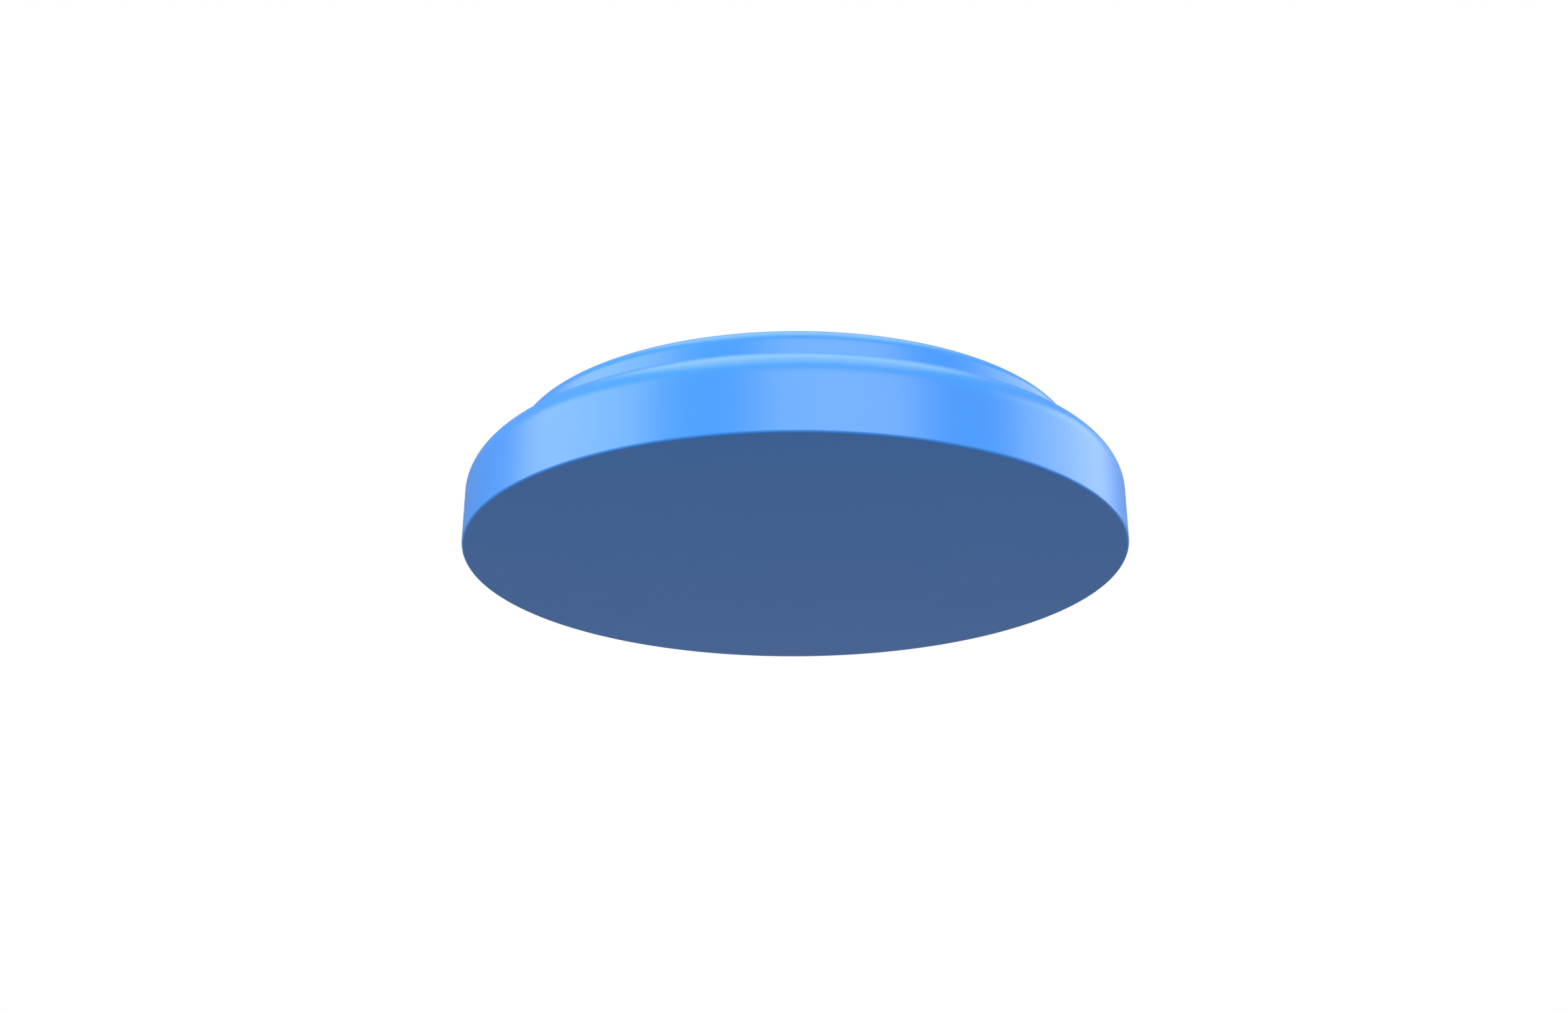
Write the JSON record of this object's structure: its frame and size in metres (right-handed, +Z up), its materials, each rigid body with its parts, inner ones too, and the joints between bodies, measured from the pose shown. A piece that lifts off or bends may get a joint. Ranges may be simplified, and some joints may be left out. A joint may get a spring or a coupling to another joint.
{
  "type": "transit token",
  "caption": "Round two-tier contactless fare token: welded plastic shells round an antenna board, with a steel weight in the middle.",
  "frame": {"origin": "centre of the flat underside, on the surface that the token lies on", "axes": "+Z up through the token's thickness, from the wide tier to the narrow tier; the board's tracks lie towards +X"},
  "size_m": [0.03, 0.03, 0.0055],
  "materials": {
    "shell_plastic": "satin",
    "adhesive": "satin",
    "laminate": "satin",
    "track_copper": "satin",
    "enamelled_wire": "gloss",
    "silicon": "gloss",
    "epoxy": "satin",
    "capacitor_ceramic": "satin",
    "tin": "satin",
    "solder": "gloss",
    "foam": "matte",
    "zinc_steel": "satin"
  },
  "bodies": {
    "root": {"base_shell": "shell_plastic", "top_cap": "shell_plastic", "adhesive_film": "adhesive", "inlay_board": "laminate", "inner_track": "track_copper", "outer_track": "track_copper", "antenna_coil": "enamelled_wire", "chip_die": "silicon", "chip_glob": "epoxy", "tuning_capacitor": "capacitor_ceramic", "capacitor_terminal_inner": "tin", "capacitor_terminal_outer": "tin", "solder_capacitor_inner": "solder", "solder_capacitor_outer": "solder", "solder_coil_start": "solder", "solder_coil_end": "solder", "foam_ring": "foam", "ballast_washer": "zinc_steel"}
  },
  "joints": []
}
